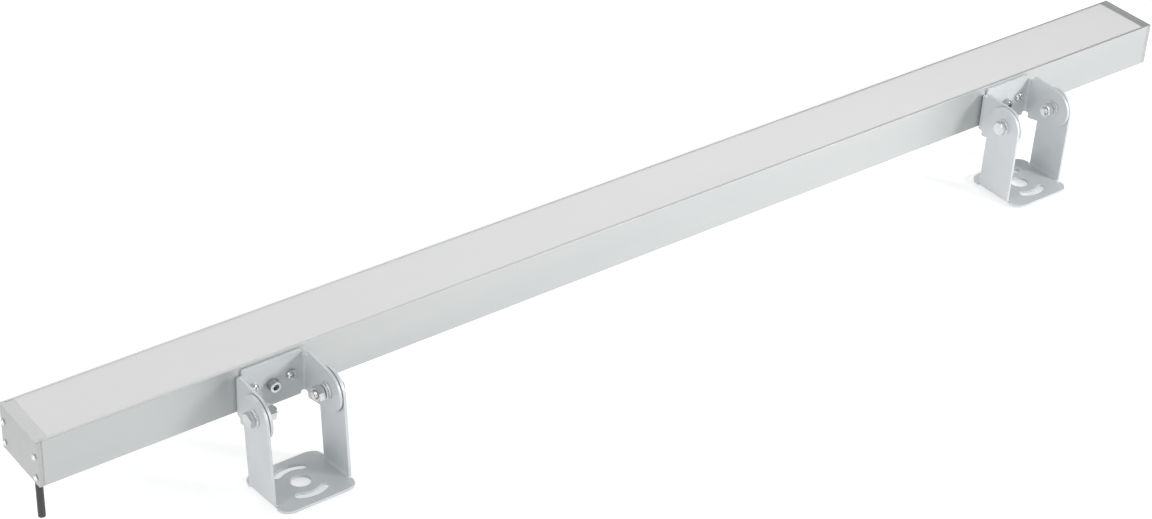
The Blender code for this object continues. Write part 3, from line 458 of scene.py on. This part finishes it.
def make_looks():
    """Every look by its key, with the cover's made to scatter light inside."""
    looks = {key: textured(*values) for key, values in LOOKS.items()}
    opal = looks["opal"].node_tree.nodes["Principled BSDF"]
    opal.inputs["Subsurface Weight"].default_value = OPAL_SUBSURFACE_SHARE
    opal.inputs["Subsurface Radius"].default_value = (OPAL_SUBSURFACE_REACH,) * 3
    opal.inputs["Subsurface Scale"].default_value = 1.0
    opal.inputs["IOR"].default_value = OPAL_IOR
    return looks


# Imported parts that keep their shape

def dress(piece, look, edge_look, width):
    """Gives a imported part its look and, where there is a width, rounds its sharp edges."""
    piece.data.materials.clear()
    piece.data.materials.append(look)
    if not width:
        return
    piece.data.materials.append(edge_look)
    weld = piece.modifiers.new("weld", "WELD")
    weld.merge_threshold = SAME_POINT
    flat = piece.modifiers.new("flats", "DECIMATE")
    flat.decimate_type = "DISSOLVE"
    flat.angle_limit = math.radians(FLAT_ANGLE)
    bevel = piece.modifiers.new("edges", "BEVEL")
    bevel.width = width
    bevel.segments = EDGE_SEGMENTS
    bevel.limit_method = "ANGLE"
    bevel.angle_limit = math.radians(SHARP_EDGE_ANGLE)
    # The rounded edges take the edge look, which is a painted highlight on the profile and the caps
    bevel.material = 1
    bevel.use_clamp_overlap = True
    smooth = piece.modifiers.new("shading", "WEIGHTED_NORMAL")
    smooth.keep_sharp = True
    smooth.weight = FACE_WEIGHT


def dress_packed_parts(looks):
    """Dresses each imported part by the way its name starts."""
    for start, look, edge_look, width in PACKED_PARTS:
        for name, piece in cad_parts.items():
            if name.startswith(start):
                dress(piece, looks[look], looks[edge_look], width)


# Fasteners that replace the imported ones: each is drawn with its bearing face at zero, head towards +Z

def dome(radius, height):
    """A low dome that starts part of the way up the head and is cut off flat."""
    outline = []
    for step in range(DOME_STEPS + 1):
        angle = math.pi / 2 * step / DOME_STEPS
        out = DOME_TOP_SHARE + (1 - DOME_TOP_SHARE) * math.cos(angle)
        up = DOME_START_SHARE + (1 - DOME_START_SHARE) * math.sin(angle)
        outline.append((radius * out, height * up))
    return turned(outline, RECESS_SIDES)


def cross_row(reach, half_width, height):
    """The outline of a cross recess, with arms of equal width."""
    points = []
    quarter = math.pi / 2
    for index in range(RECESS_SIDES):
        angle = math.tau * index / RECESS_SIDES
        off_arm = (angle + quarter / 2) % quarter - quarter / 2
        radius = reach / math.cos(off_arm)
        if abs(math.sin(off_arm)) * radius > half_width:
            radius = half_width / abs(math.sin(off_arm))
        points.append(polar(radius, angle, height))
    return points


def stub(head_radius, sides):
    """The start of a shank, in the hole below the head."""
    radius = head_radius * STUB_RADIUS_SHARE
    return turned(((radius, -STUB_LENGTH), (radius, 0)), sides)


def recessed_screw_body(radius, height, reach, half_width, depth):
    """A domed screw with a cross recess that narrows towards its floor."""
    small = RECESS_FLOOR_SHARE
    rows = stub(radius, RECESS_SIDES) + [ring(radius, 0, RECESS_SIDES)] + dome(radius, height)
    rows.append(cross_row(reach, half_width, height))
    rows.append(cross_row(reach * small, half_width * small, height - depth))
    return skin(rows)


def cap_screw_body():
    return recessed_screw_body(CAP_HEAD_RADIUS, CAP_HEAD, CAP_RECESS_REACH, CAP_RECESS_HALF_WIDTH,
                               CAP_RECESS_DEPTH)


def pan_screw_body():
    return recessed_screw_body(PAN_HEAD_RADIUS, PAN_HEAD, PAN_RECESS_REACH, PAN_RECESS_HALF_WIDTH,
                               PAN_RECESS_DEPTH)


def hex_row(flat, face_height, sides, fall=0):
    """A hexagon whose corners stay level, or fall away from the face upwards or downwards."""
    points = []
    slope = fall * math.tan(math.radians(HEX_CHAMFER_ANGLE))
    for index in range(sides):
        angle = math.tau * index / sides
        radius = flat / math.cos(angle % (math.tau / HEX_CORNERS) - math.pi / HEX_CORNERS)
        past_face = max(0, radius - flat * HEX_FACE_SHARE)
        points.append(polar(radius, angle, face_height + slope * past_face))
    return points


def knurled_row(height, depth):
    """A round outline with every second point drawn in."""
    points = []
    for index in range(KNURL_SIDES):
        radius = SOCKET_HEAD_RADIUS - depth * (index % 2)
        points.append(polar(radius, math.tau * index / KNURL_SIDES, height))
    return points


def socket_screw_body():
    """The face keeps the plating's look; the knurled side and the socket get the darker copy, which is
    painted shade.
    """
    top = SOCKET_HEAD
    knurl_end = top - KNURL_MARGIN
    knurls = ((0, 0), (KNURL_MARGIN - EDGE_BREAK, 0), (KNURL_MARGIN, KNURL_DEPTH),
              (knurl_end - EDGE_BREAK, KNURL_DEPTH), (knurl_end, 0))
    rows = stub(SOCKET_HEAD_RADIUS, KNURL_SIDES)
    rows += [knurled_row(height, depth) for height, depth in knurls]
    rows += turned(((SOCKET_HEAD_RADIUS - EDGE_BREAK, top - EDGE_BREAK / 2),
                    (SOCKET_HEAD_RADIUS - 2 * EDGE_BREAK, top)), KNURL_SIDES)
    rows += [hex_row(SOCKET_FLAT + EDGE_BREAK / 2, top, KNURL_SIDES),
             hex_row(SOCKET_FLAT, top - EDGE_BREAK, KNURL_SIDES),
             hex_row(SOCKET_FLAT, top - SOCKET_DEPTH, KNURL_SIDES)]
    body = skin(rows)
    # The knurled side and the socket take the darker zinc, which is painted shade
    for face in body.faces:
        out = face.calc_center_median().xy.length
        if out > SOCKET_HEAD_RADIUS - EDGE_BREAK or out < SOCKET_FLAT + EDGE_BREAK:
            face.material_index = 1
    return body


def thread_rows(radius, low, high):
    """A helical thread's surface between two heights."""
    count = round((high - low) / THREAD_PITCH * THREAD_STEPS)
    rows = []
    for step in range(count + 1):
        height = low + (high - low) * step / count
        row = []
        for index in range(ROUND_SIDES):
            phase = (height / THREAD_PITCH - index / ROUND_SIDES) % 1
            groove = 1 - abs(2 * phase - 1)
            row.append(polar(radius - THREAD_DEPTH * groove, math.tau * index / ROUND_SIDES, height))
        rows.append(row)
    return rows


def bolt_body(length):
    """A bolt that lies below its hexagonal head, threaded at the end of its shank."""
    end = BOLT_HEAD - length
    thread_end = end + THREADED_LENGTH
    face = BOLT_FLAT * HEX_FACE_SHARE
    rows = [ring(BOLT_RADIUS - THREAD_DEPTH - EDGE_BREAK, end, ROUND_SIDES)]
    rows += thread_rows(BOLT_RADIUS, end + EDGE_BREAK, thread_end)
    rows += turned(((BOLT_RADIUS, thread_end + EDGE_BREAK), (BOLT_RADIUS, 0), (face, 0), (face, EDGE_BREAK)),
                   ROUND_SIDES)
    rows += [hex_row(BOLT_FLAT, EDGE_BREAK, ROUND_SIDES), hex_row(BOLT_FLAT, BOLT_HEAD, ROUND_SIDES, -1),
             ring(face, BOLT_HEAD, ROUND_SIDES)]
    return skin(rows)


def nut_body(height):
    face = BOLT_FLAT * HEX_FACE_SHARE
    mouth = NUT_BORE + EDGE_BREAK
    rows = turned(((NUT_BORE, EDGE_BREAK), (mouth, 0), (face, 0)), ROUND_SIDES)
    rows += [hex_row(BOLT_FLAT, 0, ROUND_SIDES, 1), hex_row(BOLT_FLAT, height, ROUND_SIDES, -1)]
    rows += turned(((face, height), (mouth, height), (NUT_BORE, height - EDGE_BREAK)), ROUND_SIDES)
    return skin(rows, closed=True)


def washer_body(thickness):
    """A stamped washer: rounded on its upper edge, sharper below."""
    mouth = NUT_BORE + EDGE_BREAK
    burr = EDGE_BREAK / 2
    outline = ((NUT_BORE, EDGE_BREAK), (mouth, 0), (WASHER_RADIUS - burr, 0), (WASHER_RADIUS, burr),
               (WASHER_RADIUS, thickness - WASHER_ROUNDING),
               (WASHER_RADIUS - WASHER_SHOULDER, thickness - WASHER_SHOULDER),
               (WASHER_RADIUS - WASHER_ROUNDING, thickness), (mouth, thickness),
               (NUT_BORE, thickness - EDGE_BREAK))
    return skin(turned(outline, ROUND_SIDES), closed=True)


def fastener_body(kind, length):
    """A fastener's body, and the height of its outer end above its bearing face."""
    if kind == "cap_screw":
        return cap_screw_body(), CAP_HEAD
    if kind == "pan_screw":
        return pan_screw_body(), PAN_HEAD
    if kind == "socket_screw":
        return socket_screw_body(), SOCKET_HEAD
    if kind == "pivot_bolt":
        return bolt_body(length), BOLT_HEAD
    if kind == "pivot_nut":
        return nut_body(length), length
    return washer_body(length), length


def outward(name):
    """The direction in which a fastener's head looks."""
    if name.startswith("cap_screw"):
        return Vector((-1, 0, 0)) if "left" in name else Vector((1, 0, 0))
    if name.startswith(("pan_screw", "socket_screw")):
        return Vector((0, -1, 0))
    return Vector((-1, 0, 0)) if name.endswith("1") else Vector((1, 0, 0))


def add_fastener(name, turn, looks):
    """Draws the fine form of one packed fastener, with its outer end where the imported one's is."""
    first_word, second_word, place_words = name.split("_", 2)
    kind = first_word + "_" + second_word
    is_washer = second_word == "washer"
    low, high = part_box(name)
    out = outward(name)
    length = abs((high - low).dot(out))
    body, height = fastener_body(kind, length)
    seat = Matrix.Translation((low + high) / 2 + out * (length / 2 - height))
    facing = out.to_track_quat("Z", "Y").to_matrix().to_4x4()
    spin = Matrix.Rotation(0 if is_washer else math.radians(turn), 4, "Z")
    body.transform(seat @ facing @ spin)
    # Washers and cap screws take the lighter zinc, which is painted light
    look = looks["zinc_painted_light" if is_washer or kind == "cap_screw" else "zinc"]
    fine_name = "_".join((kind, "fine", place_words))
    piece = to_object(fine_name, body, look, FASTENER_SMOOTH_ANGLE)
    # The socket screw's second look is the darker zinc, painted shade
    if kind == "socket_screw":
        piece.data.materials.append(looks["zinc_painted_shade"])
    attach(piece, "lamp")
    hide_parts(name)


def add_fasteners(looks):
    for number, name in enumerate(sorted(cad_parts)):
        if name.startswith(FASTENERS):
            add_fastener(name, TURN_STEP * number % TURN_LIMIT, looks)


# Stage and light

def math_node(tree, operation, first, second):
    """A sum, product or the like of two values, each a number or another node's output."""
    node = tree.nodes.new("ShaderNodeMath")
    node.operation = operation
    for socket, value in zip(node.inputs, (first, second)):
        if isinstance(value, float):
            socket.default_value = value
        else:
            tree.links.new(value, socket)
    return node.outputs["Value"]


def floor_look():
    """Pale paint with a lift of its own where the camera sees it, less where a shiny part mirrors it."""
    look = bpy.data.materials.new("pale floor")
    look.use_nodes = True
    tree = look.node_tree
    tree.nodes.clear()
    seen = tree.nodes.new("ShaderNodeLightPath").outputs
    mirrored = math_node(tree, "MULTIPLY", seen["Is Glossy Ray"], FLOOR_MIRROR_SHARE)
    direct = math_node(tree, "MAXIMUM", seen["Is Camera Ray"], mirrored)
    either = math_node(tree, "MAXIMUM", direct, seen["Is Transmission Ray"])
    paint = tree.nodes.new("ShaderNodeBsdfDiffuse")
    paint.inputs["Color"].default_value = FLOOR_PAINT
    lift = tree.nodes.new("ShaderNodeEmission")
    lift.inputs["Color"].default_value = WHITE
    tree.links.new(math_node(tree, "MULTIPLY", either, FLOOR_LIFT), lift.inputs["Strength"])
    both = tree.nodes.new("ShaderNodeAddShader")
    tree.links.new(paint.outputs[0], both.inputs[0])
    tree.links.new(lift.outputs[0], both.inputs[1])
    output = tree.nodes.new("ShaderNodeOutputMaterial")
    tree.links.new(both.outputs[0], output.inputs["Surface"])
    return look


def make_floor():
    body = bmesh.new()
    half = FLOOR_HALF
    corners = [(-half, -half), (half, -half), (half, half), (-half, half)]
    body.faces.new([body.verts.new((x, y, FLOOR_HEIGHT)) for x, y in corners])
    mesh = bpy.data.meshes.new("floor")
    body.to_mesh(mesh)
    body.free()
    mesh.materials.append(floor_look())
    floor = bpy.data.objects.new("floor", mesh)
    bpy.context.scene.collection.objects.link(floor)


def glow(tree, place, side, start, full, strength):
    """Light that grows smoothly towards one side of the room."""
    toward = tree.nodes.new("ShaderNodeVectorMath")
    toward.operation = "DOT_PRODUCT"
    toward.inputs[1].default_value = side
    tree.links.new(place, toward.inputs[0])
    ramp = tree.nodes.new("ShaderNodeMapRange")
    ramp.interpolation_type = "SMOOTHSTEP"
    ramp.inputs["From Min"].default_value = start
    ramp.inputs["From Max"].default_value = full
    ramp.inputs["To Min"].default_value = 0
    ramp.inputs["To Max"].default_value = strength
    tree.links.new(toward.outputs["Value"], ramp.inputs["Value"])
    return ramp.outputs["Result"]


def make_world():
    """A soft pale studio, brighter above, behind and to the left, and white where the camera sees it."""
    world = bpy.data.worlds.new("studio")
    bpy.context.scene.world = world
    world.use_nodes = True
    tree = world.node_tree
    tree.nodes.clear()
    place = tree.nodes.new("ShaderNodeTexCoord").outputs["Generated"]
    total = glow(tree, place, *GLOWS[0])
    for values in GLOWS[1:]:
        total = math_node(tree, "ADD", total, glow(tree, place, *values))
    room = tree.nodes.new("ShaderNodeBackground")
    room.inputs["Color"].default_value = WHITE
    tree.links.new(total, room.inputs["Strength"])
    white = tree.nodes.new("ShaderNodeBackground")
    white.inputs["Color"].default_value = WHITE
    white.inputs["Strength"].default_value = 1.0
    seen = tree.nodes.new("ShaderNodeLightPath")
    choose = tree.nodes.new("ShaderNodeMixShader")
    tree.links.new(seen.outputs["Is Camera Ray"], choose.inputs[0])
    tree.links.new(room.outputs[0], choose.inputs[1])
    tree.links.new(white.outputs[0], choose.inputs[2])
    output = tree.nodes.new("ShaderNodeOutputWorld")
    tree.links.new(choose.outputs[0], output.inputs["Surface"])


def make_lamps():
    for name, place, target, width, watts, spread_angle in LAMPS:
        data = bpy.data.lights.new(name, "AREA")
        data.shape = "DISK"
        data.size = width
        data.energy = watts
        data.spread = math.radians(spread_angle)
        lamp = bpy.data.objects.new(name, data)
        bpy.context.scene.collection.objects.link(lamp)
        facing = (Vector(target) - Vector(place)).to_track_quat("-Z", "Y").to_matrix().to_4x4()
        lamp.matrix_world = Matrix.Translation(place) @ facing


def main():
    looks = make_looks()
    make_camera()
    make_cable(looks)
    make_seal(looks)
    make_bead(looks)
    dress_packed_parts(looks)
    add_fasteners(looks)
    make_floor()
    make_world()
    make_lamps()
    bpy.context.scene.view_settings.view_transform = "Standard"


main()
